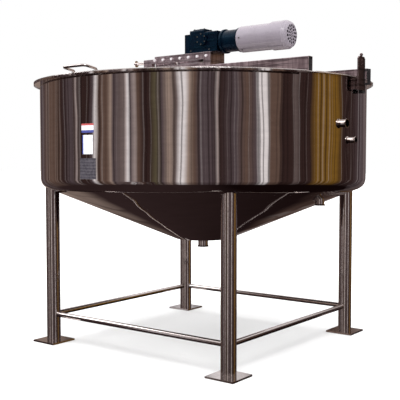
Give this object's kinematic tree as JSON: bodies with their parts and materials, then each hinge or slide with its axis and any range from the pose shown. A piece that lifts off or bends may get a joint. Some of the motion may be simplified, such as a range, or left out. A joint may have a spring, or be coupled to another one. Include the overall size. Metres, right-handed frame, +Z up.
{
  "type": "bulk milk tank",
  "caption": "Cone-bottom stainless milk vat on tube legs, with a bridge-mounted gearmotor agitator, hinged segment lids, ports and a bottom drain.",
  "frame": {"origin": "on the floor under the vat's vertical axis", "axes": "+Z up along the vat's axis; +X along the bridge towards the motor; +Y to the far lid"},
  "size_m": [2.552, 2.642, 2.351],
  "materials": {
    "polished_stainless": "mirror-polished stainless sheet",
    "vessel_stainless": "fine-ground stainless",
    "tube_stainless": "polished stainless tube and bar",
    "foam": "rigid foam",
    "teal_enamel": "gloss dark teal paint",
    "white_paint": "gloss white washdown paint",
    "dark_steel": "oiled steel",
    "black_plastic": "black moulded plastic",
    "white_plastic": "white slippery plastic",
    "plate_print": "dark printed plate",
    "label_print": "printed film"
  },
  "bodies": {
    "tank": {"beam_end_plugs": "black_plastic", "bridge_foot": "tube_stainless", "clamp_frame": "dark_steel", "conduit_box": "white_paint", "cone_insulation": "foam", "cone_jacket": "polished_stainless", "cone_port": "tube_stainless", "data_plate": "plate_print", "deck_channels": "tube_stainless", "deck_plate": "polished_stainless", "drain_outlet": "tube_stainless", "drive_bearings": "dark_steel", "drive_bolts": "dark_steel", "fan_cowl": "white_paint", "far_beam": "tube_stainless", "foot_plates": "tube_stainless", "gearbox_covers": "teal_enamel", "gearbox_housing": "teal_enamel", "hinge_lugs": "tube_stainless", "hinge_pins": "tube_stainless", "inner_vessel": "vessel_stainless", "leg_back": "tube_stainless", "leg_braces": "tube_stainless", "leg_front": "tube_stainless", "leg_left": "tube_stainless", "leg_right": "tube_stainless", "lower_wall_port": "tube_stainless", "motor_adapter": "teal_enamel", "motor_frame": "white_paint", "motor_stator": "dark_steel", "mounting_plate": "tube_stainless", "near_beam": "tube_stainless", "outer_wall": "polished_stainless", "rail_bolts": "tube_stainless", "rim_flange": "polished_stainless", "rim_lug": "tube_stainless", "stand_posts": "tube_stainless", "stand_rails": "tube_stainless", "upper_wall_port": "tube_stainless", "wall_insulation": "foam", "wall_labels": "label_print", "wash_pipe": "tube_stainless"},
    "agitator": {"bevel_gear": "dark_steel", "output_shaft": "dark_steel", "shaft_coupling": "vessel_stainless", "agitator_shaft": "vessel_stainless", "sweep_frame": "vessel_stainless", "scrapers": "white_plastic"},
    "cross_shaft": {"pinion_shaft": "dark_steel"},
    "rotor": {"motor_rotor": "dark_steel", "motor_fan": "black_plastic"},
    "near_lid_body": {"near_lid": "polished_stainless", "near_lid_leaves": "tube_stainless", "near_lid_handle": "tube_stainless"},
    "far_lid_body": {"far_lid": "polished_stainless", "far_lid_leaves": "tube_stainless", "far_lid_handle": "tube_stainless"},
    "clamp_foot": {"clamp_pad": "dark_steel"},
    "clamp_handscrew": {"clamp_screw": "tube_stainless", "clamp_knob": "black_plastic"}
  },
  "joints": [
    {"name": "agitator_turn", "type": "hinge", "parent": "tank", "child": "agitator", "pos_m": [0, 0, 2], "axis": [0, 0, 1], "continuous": true},
    {"name": "cross_shaft_turn", "type": "hinge", "parent": "tank", "child": "cross_shaft", "pos_m": [0.1, 0, 2.241], "axis": [1, 0, 0], "continuous": true},
    {"name": "motor_turn", "type": "hinge", "parent": "tank", "child": "rotor", "pos_m": [0.5, 0, 2.241], "axis": [1, 0, 0], "continuous": true},
    {"name": "near_lid_hinge", "type": "hinge", "parent": "tank", "child": "near_lid_body", "pos_m": [0, -0.467, 1.933], "axis": [-1, 0, 0], "range_deg": [0, 100]},
    {"name": "far_lid_hinge", "type": "hinge", "parent": "tank", "child": "far_lid_body", "pos_m": [0, 0.467, 1.933], "axis": [1, 0, 0], "range_deg": [0, 100]},
    {"name": "clamp_feed", "type": "slide", "parent": "tank", "child": "clamp_foot", "axis": [0, 0, -1], "range_m": [0, 0.015]},
    {"name": "clamp_turn", "type": "hinge", "parent": "clamp_foot", "child": "clamp_handscrew", "pos_m": [1.236, 0.157, 1.86], "axis": [0, 0, -1], "range_deg": [0, 1800]}
  ],
  "couplings": [
    {"joint": "cross_shaft_turn", "follows": "agitator_turn", "ratio": 2.25},
    {"joint": "motor_turn", "follows": "agitator_turn", "ratio": 27},
    {"joint": "clamp_turn", "follows": "clamp_feed", "rad_per_m": 2094.4}
  ]
}
